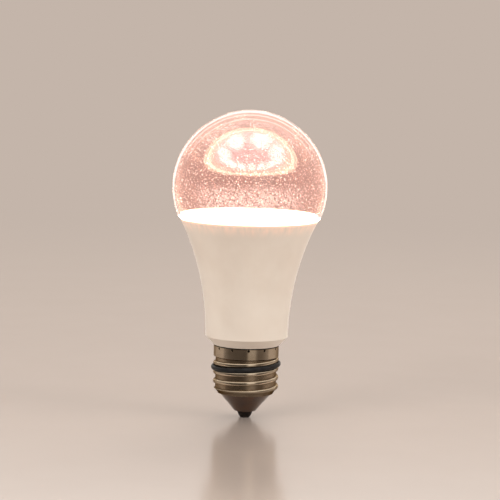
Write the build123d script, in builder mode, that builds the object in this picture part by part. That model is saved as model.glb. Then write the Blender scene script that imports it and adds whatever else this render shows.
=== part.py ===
from build123d import *
import os
from math import asin, atan, ceil, cos, degrees, floor, radians, sin, sqrt

# An LED grow lamp, in millimetres. The centre contact's flat end lies on z = 0, the lamp's axis is Z,
# and the globe is at the top. The side with -Y is the front.

# Driving dimensions: fits
slide_gap = 0.1
board_gap = 0.3

# Driving dimensions: centre contact and insulator
contact_height = 2.9
contact_tip_radius = 1.8
contact_root_radius = 3.2
contact_shank_radius = 1.45
clinch_radius = 2.4
clinch_height = 0.6
nose_rim = 1.3
nose_height = 3.9
nose_step = 0.15
cone_height = 3.2
insulator_collar_height = 1.4
clinch_well_depth = 1.8
clinch_well_gap = 0.6

# Driving dimensions: screw shell
shell_wall = 0.4
thread_root_radius = 12.15
thread_depth = 0.9
thread_pitch = 3.629
thread_length = 12.4
ridge_radius = 1.0
top_crest_drop = 0.7
run_out = 0.9
run_in = 0.3
shell_lip_inset = 1.05
shell_lip_height = 2.0
collar_step = 0.8
collar_blend = 0.5
collar_height = 4.5
crimp_count = 12
crimp_radius = 0.6
crimp_depth = 0.28
crimp_drop = 0.9
crimp_turn = 4.4

# Driving dimensions: rubber ring in the thread
ring_thickness = 1.2
ring_height = 1.8
ring_gap = 0.1

# Driving dimensions: housing
housing_wall = 1.6
foot_overhang = 0.25
chamfer_width = 3.2
chamfer_height = 3.4
flare_spread = 11.05
flare_height = 46.7
spigot_wall = 1.4
rim_land = 1.7
rim_recess_depth = 1.5
rim_edge = 0.4
rib_thickness = 1.2
rib_reach = 3.0
rib_height = 12.0

# Driving dimensions: globe
lip_overhang = 0.45
lip_thickness = 1.2
lip_edge = 0.6
globe_bulge = 2.6
globe_wall = 1.2
skirt_wall = 0.95

# Driving dimensions: LED board, LEDs and heatsink cup
board_drop = 4.6
board_thickness = 1.2
led_count = 11
led_ring_radius = 16.0
led_ring_turn = 4.0
led_length = 3.5
led_width = 2.8
led_height = 0.8
led_frame = 0.35
led_well = 0.15
cup_wall = 1.0
cup_plate = 1.2
cup_length = 26.6

# Driving dimensions: driver board and its parts
driver_thickness = 1.2
driver_height = 29.5
driver_edge_gap = 1.1
tongue_gap = 1.4
tongue_length = 8.0
part_gap = 0.1
input_can_radius = 5.0
input_can_length = 13.0
output_can_radius = 4.0
output_can_length = 11.0
can_edge = 0.5
can_groove = 0.35
drum_radius = 5.0
drum_hub_radius = 2.5
drum_length = 9.0
drum_flange = 1.2
winding_thickness = 2.0
bridge_length = 4.9
bridge_width = 6.8
bridge_height = 2.5
chip_length = 4.9
chip_width = 3.9
chip_height = 1.5
chip_edge = 0.3
fuse_radius = 1.6
fuse_length = 6.0
lead_radius = 0.55
lead_bend = 1.6
pin_radius = 0.45
pin_spread = 3.0
pin_lap = 4.0
pin_rise = 0.5
pin_hole_gap = 0.35

# Heights up the axis, each from the one below it
cone_foot = contact_height + nose_height
shell_foot = cone_foot + cone_height
thread_start = shell_foot + shell_lip_height
thread_end = thread_start + thread_length
collar_start = thread_end + collar_blend
shell_top = collar_start + collar_height
base_height = shell_top + slide_gap
neck_height = base_height + chamfer_height
seam_height = neck_height + flare_height
ledge_height = seam_height - rim_recess_depth
spigot_foot = collar_start + shell_wall + slide_gap

# Radii out from the axis, each from the one inside it
shell_lip_radius = thread_root_radius - shell_lip_inset
thread_crest_radius = thread_root_radius + thread_depth
collar_radius = thread_root_radius + collar_step
spigot_radius = collar_radius - shell_wall - slide_gap
bore_radius = spigot_radius - spigot_wall
foot_radius = collar_radius + foot_overhang
neck_radius = foot_radius + chamfer_width
rim_radius = neck_radius + flare_spread
recess_radius = rim_radius - rim_land

# The housing's flare is one arc, upright at the neck, that ends at the rim
flare_arc_radius = (flare_height**2 + flare_spread**2) / (2 * flare_spread)
flare_centre_radius = neck_radius + flare_arc_radius


def flare_radius(height, inset):
    """Radius of the flare at a height, for a surface that lies inset from the housing's outside."""
    rise = height - neck_height
    return flare_centre_radius - sqrt((flare_arc_radius + inset) ** 2 - rise**2)


def flare_arc(low, high, inset):
    """The flare's arc between two heights, inset from the housing's outside."""
    middle = (low + high) / 2
    points = [(flare_radius(height, inset), height) for height in (low, middle, high)]
    return ThreePointArc(*points)


os.makedirs("parts", exist_ok=True)

# Centre contact: a headed rivet, turned from one piece, clinched above the insulator
clinch_foot = shell_foot + shell_lip_height + insulator_collar_height - clinch_well_depth
clinch_top = clinch_foot + clinch_height
with BuildPart() as centre_contact:
    with BuildSketch(Plane.XZ):
        with BuildLine():
            Line((0, 0), (contact_tip_radius, 0))
            RadiusArc((contact_tip_radius, 0), (contact_root_radius, contact_height), -2 * contact_height)
            Polyline(
                (contact_root_radius, contact_height),
                (contact_shank_radius, contact_height),
                (contact_shank_radius, clinch_foot),
                (clinch_radius, clinch_foot),
                (clinch_radius, clinch_top),
                (0, clinch_top),
                (0, 0),
            )
        make_face()
    revolve(axis=Axis.Z)
centre_contact.part.label = "centre_contact"
export_step(centre_contact.part, "parts/centre_contact.step")

# Insulator: moulded cone with a small step, seated in the shell's turned-in foot
nose_radius = contact_root_radius + nose_rim
mouth_radius = shell_lip_radius - shell_wall - slide_gap
step_radius = nose_radius + (mouth_radius - nose_radius) * nose_height / (nose_height + cone_height)
seat_radius = thread_root_radius - shell_wall - slide_gap
insulator_top = thread_start + insulator_collar_height
shank_hole_radius = contact_shank_radius + slide_gap
well_radius = clinch_radius + clinch_well_gap
with BuildPart() as base_insulator:
    with BuildSketch(Plane.XZ):
        with BuildLine():
            Polyline(
                (shank_hole_radius, contact_height),
                (nose_radius, contact_height),
                (step_radius - nose_step, cone_foot),
                (step_radius, cone_foot),
                (mouth_radius, shell_foot),
                (seat_radius, thread_start),
                (seat_radius, insulator_top),
                (well_radius, insulator_top),
                (well_radius, clinch_foot),
                (shank_hole_radius, clinch_foot),
                close=True,
            )
        make_face()
    revolve(axis=Axis.Z)
base_insulator.part.label = "base_insulator"
export_step(base_insulator.part, "parts/base_insulator.step")

# Screw shell: sheet metal rolled into a right-hand thread, so the inside follows the outside.
# Each face is a plain sleeve with a helical ridge on it. Outside, the ridge runs out under a cone at
# both ends, and inside, whole turns of it follow where the ridge has its full height.
top_crest_height = thread_end - top_crest_drop
crest_foot = thread_start + thread_depth / 2
crest_end = thread_end - collar_blend
ridge_foot = shell_foot + run_in
ridge_end = crest_end + run_out
helix_radius = thread_crest_radius - ridge_radius
outer_turns = ceil((top_crest_height - shell_foot) / thread_pitch) + 1
inner_turns = floor((top_crest_height - crest_foot) / thread_pitch)


def plain_sleeve(inset):
    """The plain solid inside one face of the shell: inset 0 is the outer face, the wall the inner one."""
    with BuildPart() as sleeve:
        with BuildSketch(Plane.XZ):
            with BuildLine():
                Polyline(
                    (0, shell_foot),
                    (shell_lip_radius - inset, shell_foot),
                    (thread_root_radius - inset, thread_start),
                    (thread_root_radius - inset, thread_end + inset),
                    (collar_radius - inset, collar_start + inset),
                    (collar_radius - inset, shell_top),
                    (0, shell_top),
                    close=True,
                )
            make_face()
        revolve(axis=Axis.Z)
    return sleeve.part


def thread_ridge(turns_below, turns_above, inset):
    """A round helical ridge, some turns below and above the top crest, for one face of the shell."""
    foot = top_crest_height - turns_below * thread_pitch
    height = (turns_below + turns_above) * thread_pitch
    with BuildPart() as ridge:
        with BuildLine() as path:
            Helix(thread_pitch, height, helix_radius, center=(0, 0, foot))
        with BuildSketch(Plane(origin=path.line @ 0, x_dir=(1, 0, 0), z_dir=path.line % 0)):
            Circle(ridge_radius - inset)
        sweep(is_frenet=True)
    return ridge.part


with BuildPart() as outer_ridge:
    add(thread_ridge(outer_turns, 1, 0))
    with BuildSketch(Plane.XZ):
        with BuildLine():
            Polyline(
                (0, ridge_foot),
                (shell_lip_radius, ridge_foot),
                (thread_crest_radius + slide_gap, crest_foot),
                (thread_crest_radius + slide_gap, crest_end),
                (thread_root_radius - slide_gap, ridge_end),
                (0, ridge_end),
                close=True,
            )
        make_face()
    revolve(axis=Axis.Z, mode=Mode.INTERSECT)
outer_sleeve = plain_sleeve(0)
inner_sleeve = plain_sleeve(shell_wall)
inner_ridge = thread_ridge(inner_turns, 0, shell_wall)
with BuildPart() as screw_shell:
    add(outer_sleeve)
    add(outer_ridge.part)
    add(inner_sleeve, mode=Mode.SUBTRACT)
    add(inner_ridge, mode=Mode.SUBTRACT)
    with Locations((0, 0, shell_top - crimp_drop)):
        with PolarLocations(collar_radius + crimp_radius - crimp_depth, crimp_count, crimp_turn - 90):
            Sphere(crimp_radius, mode=Mode.SUBTRACT)
screw_shell.part.label = "screw_shell"
export_step(screw_shell.part, "parts/screw_shell.step")

# Rubber ring: lies in the groove under the top turn. The groove's middle at the front is three
# quarters of a pitch under the top crest, and it climbs half a pitch from left to right, which tilts
# the ring. At the back the ring crosses a crest, so it is pushed that way by half the thread's depth.
ring_inner_radius = (thread_root_radius + thread_crest_radius) / 2 + ring_gap
ring_shift = thread_depth / 2
ring_middle_radius = ring_inner_radius + ring_thickness / 2
ring_centre_height = top_crest_height - 0.75 * thread_pitch
ring_tilt = atan(thread_pitch / (4 * ring_middle_radius))
ring_origin = (0, ring_shift, ring_centre_height)
ring_across = (cos(ring_tilt), 0, sin(ring_tilt))
ring_axis = Axis(ring_origin, (-sin(ring_tilt), 0, cos(ring_tilt)))
with BuildPart() as seal_ring:
    with BuildSketch(Plane(origin=ring_origin, x_dir=ring_across, z_dir=(0, -1, 0))):
        with Locations((ring_middle_radius, 0)):
            Ellipse(ring_thickness / 2, ring_height / 2)
    revolve(axis=ring_axis)
seal_ring.part.label = "seal_ring"
export_step(seal_ring.part, "parts/seal_ring.step")

# Housing: moulded trumpet. The hollow is made first, with the guide ribs left standing in it.
chamfer_slope = chamfer_height / chamfer_width
hollow_neck_height = base_height + chamfer_slope * (neck_radius - housing_wall - bore_radius)
rib_pitch = driver_thickness + 2 * slide_gap + rib_thickness
rib_foot = base_height + chamfer_slope * (neck_radius - housing_wall - rib_reach - bore_radius)
with BuildPart() as hollow:
    with BuildSketch(Plane.XZ):
        with BuildLine():
            wall = flare_arc(hollow_neck_height, ledge_height, housing_wall)
            Polyline(
                wall @ 1,
                (recess_radius, ledge_height),
                (recess_radius, seam_height),
                (0, seam_height),
                (0, spigot_foot),
                (bore_radius, spigot_foot),
                (bore_radius, base_height),
                wall @ 0,
            )
        make_face()
    revolve(axis=Axis.Z)
    with BuildSketch(Plane.XY.offset(rib_foot)):
        with GridLocations(2 * (neck_radius - housing_wall), rib_pitch, 2, 2):
            Rectangle(2 * rib_reach, rib_thickness)
    extrude(amount=rib_height, mode=Mode.SUBTRACT)
with BuildPart() as housing:
    with BuildSketch(Plane.XZ):
        with BuildLine():
            flare = flare_arc(neck_height, seam_height, 0)
            Polyline(
                flare @ 1,
                (0, seam_height),
                (0, spigot_foot),
                (spigot_radius, spigot_foot),
                (spigot_radius, base_height),
                (foot_radius, base_height),
                flare @ 0,
            )
        make_face()
    revolve(axis=Axis.Z)
    add(hollow.part, mode=Mode.SUBTRACT)
    fillet(housing.edges().group_by(Axis.Z)[-1].sort_by(SortBy.RADIUS)[-1], rim_edge)
housing.part.label = "housing"
export_step(housing.part, "parts/housing.step")

# Globe: clear moulded dome with a flat lip on the rim and a short skirt in the rim's recess
lip_height = seam_height + slide_gap
lip_radius = rim_radius + lip_overhang
lip_top = lip_height + lip_thickness
globe_radius = lip_radius + globe_bulge
globe_inner_radius = globe_radius - globe_wall
globe_centre_height = lip_height + sqrt(globe_radius**2 - lip_radius**2)
outer_start = degrees(asin((lip_height - globe_centre_height) / globe_radius))
inner_start = degrees(asin((lip_top - globe_centre_height) / globe_inner_radius))
skirt_outer_radius = recess_radius - slide_gap
skirt_inner_radius = skirt_outer_radius - skirt_wall
skirt_foot = ledge_height + slide_gap
with BuildPart() as globe:
    with BuildSketch(Plane.XZ):
        with BuildLine():
            outside = CenterArc((0, globe_centre_height), globe_radius, outer_start, 90 - outer_start)
            inside = CenterArc((0, globe_centre_height), globe_inner_radius, inner_start, 90 - inner_start)
            Line(outside @ 1, inside @ 1)
            Polyline(
                outside @ 0,
                (skirt_outer_radius, lip_height),
                (skirt_outer_radius, skirt_foot),
                (skirt_inner_radius, skirt_foot),
                (skirt_inner_radius, lip_top),
                inside @ 0,
            )
        make_face()
    revolve(axis=Axis.Z)
    lip_edges = globe.edges().filter_by_position(Axis.Z, seam_height, lip_height + slide_gap)
    fillet(lip_edges.sort_by(SortBy.RADIUS)[-1], lip_edge)
globe.part.label = "globe"
export_step(globe.part, "parts/globe.step")

# LED board: round board on the heatsink cup, some way under the rim, with a hole for each output pin
board_top = seam_height - board_drop
board_foot = board_top - board_thickness
board_radius = flare_radius(board_foot, housing_wall) - board_gap
pin_y = driver_thickness / 2 + part_gap + pin_radius
pin_places = [(-pin_spread, pin_y), (pin_spread, pin_y)]
with BuildPart() as led_board:
    with BuildSketch(Plane.XY.offset(board_foot)):
        Circle(board_radius)
        with Locations(*pin_places):
            Circle(pin_radius + pin_hole_gap / 2, mode=Mode.SUBTRACT)
    extrude(amount=board_thickness)
led_board.part.label = "led_board"
export_step(led_board.part, "parts/led_board.step")

# LEDs: surface-mount packages in a ring on the board, the first a little left of the front, each with a
# shallow well for its phosphor
for number in range(1, led_count + 1):
    turn = radians(360 * (number - 1) / led_count - 90 - led_ring_turn)
    outward = (cos(turn), sin(turn), 0)
    led_foot = (led_ring_radius * cos(turn), led_ring_radius * sin(turn), board_top)
    led_plane = Plane(origin=led_foot, x_dir=outward, z_dir=(0, 0, 1))
    with BuildPart() as led:
        with BuildSketch(led_plane):
            Rectangle(led_length, led_width)
        extrude(amount=led_height)
        with BuildSketch(led_plane.offset(led_height)):
            Rectangle(led_length - 2 * led_frame, led_width - 2 * led_frame)
        extrude(amount=-led_well, mode=Mode.SUBTRACT)
    led.part.label = f"led_{number:02d}"
    export_step(led.part, f"parts/led_{number:02d}.step")

# Heatsink cup: deep-drawn aluminium, inside the flare, with a flat top that carries the LED board
cup_foot = board_foot - cup_length
cup_inset = housing_wall + slide_gap
plate_foot = board_foot - cup_plate
with BuildPart() as heatsink_cup:
    with BuildSketch(Plane.XZ):
        with BuildLine():
            outer_wall = flare_arc(cup_foot, board_foot, cup_inset)
            inner_wall = flare_arc(cup_foot, plate_foot, cup_inset + cup_wall)
            Line(outer_wall @ 0, inner_wall @ 0)
            Polyline(
                outer_wall @ 1,
                (0, board_foot),
                (0, plate_foot),
                inner_wall @ 1,
            )
        make_face()
    revolve(axis=Axis.Z)
    with BuildSketch(Plane.XY.offset(plate_foot)):
        with Locations(*pin_places):
            Circle(pin_radius + pin_hole_gap)
    extrude(amount=cup_plate, mode=Mode.SUBTRACT)
heatsink_cup.part.label = "heatsink_cup"
export_step(heatsink_cup.part, "parts/heatsink_cup.step")

# Driver board: upright board between the ribs, with a tongue that reaches down into the base
driver_half_width = neck_radius - housing_wall - driver_edge_gap
tongue_half_width = bore_radius - tongue_gap
driver_foot = base_height + chamfer_slope * (driver_half_width - bore_radius) + board_gap
driver_top = driver_foot + driver_height
tongue_foot = driver_foot - tongue_length
front_face = -driver_thickness / 2
back_face = driver_thickness / 2
with BuildPart() as driver_board:
    with BuildSketch(Plane.XZ.offset(front_face)):
        with BuildLine():
            Polyline(
                (-tongue_half_width, tongue_foot),
                (tongue_half_width, tongue_foot),
                (tongue_half_width, driver_foot),
                (driver_half_width, driver_foot),
                (driver_half_width, driver_top),
                (-driver_half_width, driver_top),
                (-driver_half_width, driver_foot),
                (-tongue_half_width, driver_foot),
                close=True,
            )
        make_face()
    extrude(amount=driver_thickness)
driver_board.part.label = "driver_board"
export_step(driver_board.part, "parts/driver_board.step")


def electrolytic_can(foot, radius, length):
    """An aluminium can with a rolled groove near its foot, standing on the plane given."""
    with BuildPart() as can:
        with BuildSketch(foot):
            Circle(radius)
        extrude(amount=length)
        fillet(can.edges().filter_by(GeomType.CIRCLE), can_edge)
        with BuildSketch(foot.offset(2 * can_edge)):
            Circle(radius + can_edge)
            Circle(radius - can_groove, mode=Mode.SUBTRACT)
        extrude(amount=can_edge, mode=Mode.SUBTRACT)
    return can.part


# Input and output capacitors: cans that lie along the driver board's front, left of the middle
input_can_place = (-input_can_radius, front_face - part_gap - input_can_radius, driver_foot + part_gap)
input_capacitor = electrolytic_can(Plane(input_can_place), input_can_radius, input_can_length)
input_capacitor.label = "input_capacitor"
export_step(input_capacitor, "parts/input_capacitor.step")
output_can_height = driver_foot + input_can_length + 2 * can_edge
output_can_place = (-output_can_radius, front_face - part_gap - output_can_radius, output_can_height)
output_capacitor = electrolytic_can(Plane(output_can_place), output_can_radius, output_can_length)
output_capacitor.label = "output_capacitor"
export_step(output_capacitor, "parts/output_capacitor.step")

# Inductor: ferrite drum that stands on the board's front, right of the middle, and its copper winding
drum_foot = Plane(
    origin=(drum_radius + part_gap, front_face - part_gap, driver_foot + input_can_length),
    x_dir=(1, 0, 0),
    z_dir=(0, -1, 0),
)
window_foot = drum_foot.offset(drum_flange)
window_length = drum_length - 2 * drum_flange
with BuildPart() as inductor_core:
    with BuildSketch(drum_foot):
        Circle(drum_radius)
    extrude(amount=drum_length)
    with BuildSketch(window_foot):
        Circle(drum_radius)
        Circle(drum_hub_radius, mode=Mode.SUBTRACT)
    extrude(amount=window_length, mode=Mode.SUBTRACT)
inductor_core.part.label = "inductor_core"
export_step(inductor_core.part, "parts/inductor_core.step")
with BuildPart() as inductor_winding:
    with BuildSketch(window_foot.offset(part_gap)):
        Circle(drum_hub_radius + part_gap + winding_thickness)
        Circle(drum_hub_radius + part_gap, mode=Mode.SUBTRACT)
    extrude(amount=window_length - 2 * part_gap)
inductor_winding.part.label = "inductor_winding"
export_step(inductor_winding.part, "parts/inductor_winding.step")

# Bridge rectifier and driver chip: moulded packages on the board's back
back_plane = Plane(origin=(0, back_face, driver_foot), x_dir=(-1, 0, 0), z_dir=(0, 1, 0))
with BuildPart() as bridge_rectifier:
    with BuildSketch(back_plane):
        with Locations((bridge_width, bridge_length)):
            Rectangle(bridge_width, bridge_length)
    extrude(amount=bridge_height)
    chamfer(bridge_rectifier.faces().sort_by(Axis.Y)[-1].edges(), chip_edge)
bridge_rectifier.part.label = "bridge_rectifier"
export_step(bridge_rectifier.part, "parts/bridge_rectifier.step")
with BuildPart() as driver_chip:
    with BuildSketch(back_plane):
        with Locations((-chip_width, bridge_length + chip_length)):
            Rectangle(chip_width, chip_length)
    extrude(amount=chip_height)
    chamfer(driver_chip.faces().sort_by(Axis.Y)[-1].edges(), chip_edge)
driver_chip.part.label = "driver_chip"
export_step(driver_chip.part, "parts/driver_chip.step")

# Fuse resistor: coated rod that lies along the front of the tongue
fuse_x = tongue_half_width / 2
fuse_y = front_face - part_gap - fuse_radius
fuse_foot = tongue_foot + part_gap
with BuildPart() as fuse_resistor:
    with BuildSketch(Plane((fuse_x, fuse_y, fuse_foot))):
        Circle(fuse_radius)
    extrude(amount=fuse_length)
    fillet(fuse_resistor.edges().filter_by(GeomType.CIRCLE), can_edge)
fuse_resistor.part.label = "fuse_resistor"
export_step(fuse_resistor.part, "parts/fuse_resistor.step")


def lead(route):
    """A round insulated wire along straight runs joined by bends."""
    with BuildPart() as wire:
        with BuildLine() as path:
            FilletPolyline(*route, radius=lead_bend)
        with BuildSketch(Plane(origin=path.line @ 0, z_dir=path.line % 0)):
            Circle(lead_radius)
        sweep()
    return wire.part


# Live lead: from the fuse resistor's foot to the clinched top of the centre contact
live_start = fuse_foot - part_gap
live_level = (live_start + clinch_top) / 2
live_lead = lead(
    [
        (fuse_x, fuse_y, live_start),
        (fuse_x, fuse_y, live_level + lead_bend),
        (0, 0, live_level - lead_bend),
        (0, 0, clinch_top + part_gap),
    ]
)
live_lead.label = "live_lead"
export_step(live_lead, "parts/live_lead.step")

# Neutral lead: from the front of the tongue down and out to the inside of the screw shell
neutral_x = -tongue_half_width / 2
neutral_y = front_face - part_gap - lead_radius
neutral_level = spigot_foot - 2 * lead_bend
neutral_reach = sqrt((thread_root_radius - shell_wall - slide_gap) ** 2 - (neutral_y - lead_radius) ** 2)
neutral_lead = lead(
    [
        (neutral_x, neutral_y, driver_foot),
        (neutral_x, neutral_y, neutral_level),
        (-neutral_reach, neutral_y, neutral_level),
    ]
)
neutral_lead.label = "neutral_lead"
export_step(neutral_lead, "parts/neutral_lead.step")

# Output pins: stiff wires from the driver board's back up through the cup and the LED board
for name, place in zip(("output_pin_a", "output_pin_b"), pin_places):
    with BuildPart() as output_pin:
        with BuildSketch(Plane((*place, driver_top - pin_lap))):
            Circle(pin_radius)
        extrude(amount=board_top + pin_rise - driver_top + pin_lap)
    output_pin.part.label = name
    export_step(output_pin.part, f"parts/{name}.step")
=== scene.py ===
import math
import bpy
from mathutils import Euler, Matrix, Vector


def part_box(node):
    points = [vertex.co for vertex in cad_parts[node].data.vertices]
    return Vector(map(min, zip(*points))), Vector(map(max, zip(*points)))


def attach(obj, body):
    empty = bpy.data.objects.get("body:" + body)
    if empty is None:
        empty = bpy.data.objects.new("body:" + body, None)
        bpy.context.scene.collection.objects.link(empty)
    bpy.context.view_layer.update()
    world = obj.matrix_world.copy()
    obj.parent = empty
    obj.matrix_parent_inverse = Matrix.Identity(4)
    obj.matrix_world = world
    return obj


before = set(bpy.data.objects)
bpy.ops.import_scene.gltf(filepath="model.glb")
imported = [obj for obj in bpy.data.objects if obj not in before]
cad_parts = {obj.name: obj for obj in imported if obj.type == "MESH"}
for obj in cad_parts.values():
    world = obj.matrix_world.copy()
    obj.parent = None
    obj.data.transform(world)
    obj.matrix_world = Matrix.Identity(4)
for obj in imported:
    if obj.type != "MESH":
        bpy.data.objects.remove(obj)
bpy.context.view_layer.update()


# Centre contact: a small headed brass rivet at the very end of the base, clinched through the insulator.
# Its near-black colour is painted shade, and its flat end is rubbed where the lampholder's tongue presses.
mm = 0.001


def linear(colour):
    """A linear colour with full alpha, from an sRGB hex value such as #8a6f4d."""
    parts = [int(colour[at:at + 2], 16) / 255 for at in (1, 3, 5)]
    return [p / 12.92 if p <= 0.04045 else ((p + 0.055) / 1.055) ** 2.4 for p in parts] + [1.0]


def fill(made, sockets):
    """Fills a node's sockets, each with a plain value or with a link from another node's output."""
    for name, value in sockets.items():
        if isinstance(value, bpy.types.NodeSocket):
            made.id_data.links.new(value, made.inputs[name])
        else:
            made.inputs[name].default_value = value


def node(tree, kind, sockets=None, **settings):
    """Adds a node with its settings and links, and gives its first output. A short kind is a shader node."""
    made = tree.nodes.new(kind if "Node" in kind else "ShaderNode" + kind)
    for name, value in settings.items():
        setattr(made, name, value)
    fill(made, sockets or {})
    return next((output for output in made.outputs if output.enabled), None)


def new_material(name):
    """An empty material: its tree, its Principled shader and the piece's own coordinates, in metres."""
    material = bpy.data.materials.new(name)
    material.use_nodes = True
    tree = material.node_tree
    return material, tree, tree.nodes["Principled BSDF"], node(tree, "TexCoord").node.outputs["Object"]


def patterned(tree, shader, pattern, colours=None, span=None, shine=None, relief=None):
    """Lets a surface follow a pattern: from one colour to the other within a span, from one roughness to the
    other, and in relief of a strength and a depth. It gives the colour."""
    colour = None
    if colours:
        share = pattern
        if span:
            share = node(tree, "MapRange", {"Value": pattern, "From Min": span[0], "From Max": span[1]})
        ends = {"A": linear(colours[0]), "B": linear(colours[1])}
        colour = node(tree, "Mix", {"Factor": share, **ends}, data_type="RGBA")
        fill(shader, {"Base Color": colour})
    if shine:
        dulled = node(tree, "MapRange", {"Value": pattern, "To Min": shine[0], "To Max": shine[1]})
        fill(shader, {"Roughness": dulled})
    if relief:
        raised = node(tree, "Bump", {"Height": pattern, "Strength": relief[0], "Distance": relief[1]})
        fill(shader, {"Normal": raised})
    return colour


def dress(material, *names):
    """Puts a material on CAD pieces."""
    for name in names:
        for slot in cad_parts[name].material_slots:
            slot.material = material


# Brass painted near black as painted shade: dark and half matt, with warmer metal showing through in small
# spots
dark_spot_size = 0.7 * mm
shade_black_brass, tree, shader, place = new_material("shade_black_brass")
dark_spots = node(tree, "TexNoise", {"Vector": place, "Scale": 1 / dark_spot_size, "Detail": 6.0})
dark_spot_look = {"span": (0.35, 0.75), "shine": (0.55, 0.32), "relief": (0.25, 0.05 * mm)}
patterned(tree, shader, dark_spots, ("#151312", "#3a3029"), **dark_spot_look)
fill(shader, {"Metallic": 0.7})
dress(shade_black_brass, "centre_contact")


# Insulator: a cone of dark brown phenolic, hot-pressed in a polished mould, with one small step round it.
# It is held in the screw shell's turned-in foot. The skin is glossy, with a little flow and a few scuffs.
flow_width = 3.0 * mm
scuff_length = 2.0 * mm
brown_phenolic, tree, shader, place = new_material("brown_phenolic")
flow = node(tree, "TexNoise", {"Vector": place, "Scale": 1 / flow_width, "Detail": 5.0})
patterned(tree, shader, flow, ("#2a1506", "#46280e"), span=(0.3, 0.75), relief=(0.2, 0.1 * mm))
scuff_place = node(tree, "Mapping", {"Vector": place, "Scale": (1.0, 1.0, 6.0)})
scuff = node(tree, "TexNoise", {"Vector": scuff_place, "Scale": 1 / scuff_length, "Detail": 8.0})
scuff_range = {"From Min": 0.45, "From Max": 0.75, "To Min": 0.06, "To Max": 0.25}
scuff_shine = node(tree, "MapRange", {"Value": scuff, **scuff_range})
fill(shader, {"Roughness": scuff_shine, "IOR": 1.6, "Coat Weight": 0.3, "Coat Roughness": 0.05})
dress(brown_phenolic, "base_insulator")


# Screw shell: thin brass strip, drawn and rolled into the thread, nickel plated, and crimped to the housing
# by a row of dents. Rolling leaves fine lines round it, and the plate is paler on the crests and darker and
# duller in patches down in the grooves.
def round_place(tree, place):
    """A point's axes, its place seen from above, and its distance from the lamp's axis."""
    axes = node(tree, "SeparateXYZ", {"Vector": place}).node.outputs
    above = node(tree, "CombineXYZ", {"X": axes["X"], "Y": axes["Y"]})
    return axes, above, node(tree, "VectorMath", {0: above}, operation="LENGTH")


def wrapped(tree, axes, parts, height):
    """Coordinates of a pattern wrapped round the lamp, so many parts to a radian and each this high."""
    turn = node(tree, "Math", {0: axes["Y"], 1: axes["X"]}, operation="ARCTAN2")
    run = node(tree, "Math", {0: turn, 1: parts}, operation="MULTIPLY")
    rise = node(tree, "Math", {0: axes["Z"], 1: 1 / height}, operation="MULTIPLY")
    return node(tree, "CombineXYZ", {"X": run, "Y": rise})


shell_low, shell_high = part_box("screw_shell")
# The real lines are about 0.05 mm apart, and are drawn at 0.22 mm so that they show
line_spacing = 0.22 * mm
lines_to_radian = 4.0
tarnish_width = 5.0 * mm
crest_radius = 12.9 * mm
groove_radius = 12.15 * mm
groove_dulling = 0.25
nickel_plate, tree, shader, place = new_material("nickel_plated_brass")
axes, _, reach = round_place(tree, place)
line_place = wrapped(tree, axes, lines_to_radian, line_spacing)
lines = node(tree, "TexNoise", {"Vector": line_place, "Scale": 1.0, "Detail": 3.0})
patterned(tree, shader, lines, relief=(0.12, 0.05 * mm))
tarnish = node(tree, "TexNoise", {"Vector": place, "Scale": 1 / tarnish_width, "Detail": 7.0})
bright_share = node(tree, "MapRange", {"Value": tarnish, "From Min": 0.3, "From Max": 0.65})
bright_tones = {"A": linear("#cabca6"), "B": linear("#ddd1bd")}
bright_plate = node(tree, "Mix", {"Factor": bright_share, **bright_tones}, data_type="RGBA")
groove_share = node(tree, "MapRange", {"Value": reach, "From Min": crest_radius, "From Max": groove_radius})
groove_patches = node(tree, "Math", {0: groove_share, 1: tarnish}, operation="MULTIPLY")
groove_tones = {"A": bright_plate, "B": linear("#6f5230")}
groove_darkened_plate = node(tree, "Mix", {"Factor": groove_patches, **groove_tones}, data_type="RGBA")
line_shine = node(tree, "MapRange", {"Value": lines, "To Min": 0.1, "To Max": 0.22})
plate_shine = node(tree, "Math", {0: groove_patches, 1: groove_dulling, 2: line_shine}, operation="MULTIPLY_ADD")
# Near-black colour is painted shade in the dents of the collar and, half as strong, round the foot.
# The seam at the collar's top is darkened with it too.
in_collar, in_dent, seam_dark, painted_foot_shade = [
    node(tree, "MapRange", {"Value": value, "From Min": clean, "From Max": dirty, "To Max": most})
    for value, clean, dirty, most in (
        (axes["Z"], shell_high.z - 3.2 * mm, shell_high.z - 2.6 * mm, 1.0),  # up in the collar
        (reach, 12.94 * mm, 12.8 * mm, 1.0),  # in from the collar's face
        (axes["Z"], shell_high.z - 0.5 * mm, shell_high.z - 0.2 * mm, 1.0),  # up to the seam
        (axes["Z"], shell_low.z + 2.8 * mm, shell_low.z + 1.2 * mm, 0.5),  # down to the foot
    )
]
painted_dent_shade = node(tree, "Math", {0: in_collar, 1: in_dent}, operation="MULTIPLY")
seam_dark_and_foot_shade = node(tree, "Math", {0: seam_dark, 1: painted_foot_shade}, operation="MAXIMUM")
painted_shade_and_seam_dark = node(tree, "Math", {0: painted_dent_shade, 1: seam_dark_and_foot_shade}, operation="MAXIMUM")
plate_colour = node(
    tree, "Mix", {"Factor": painted_shade_and_seam_dark, "A": groove_darkened_plate, "B": linear("#1c140f")}, data_type="RGBA"
)
fill(shader, {"Base Color": plate_colour, "Roughness": plate_shine})
fill(shader, {"Metallic": 1.0, "Specular Tint": linear("#8a7f76")})
dress(nickel_plate, "screw_shell")


# Seal ring: a black rubber ring, moulded, then stretched over the shell into the groove of the thread.
# It is matt, with a faint bloom of dust and the fine skin that a mould leaves on rubber.
bloom_patch = 1.6 * mm
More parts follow.
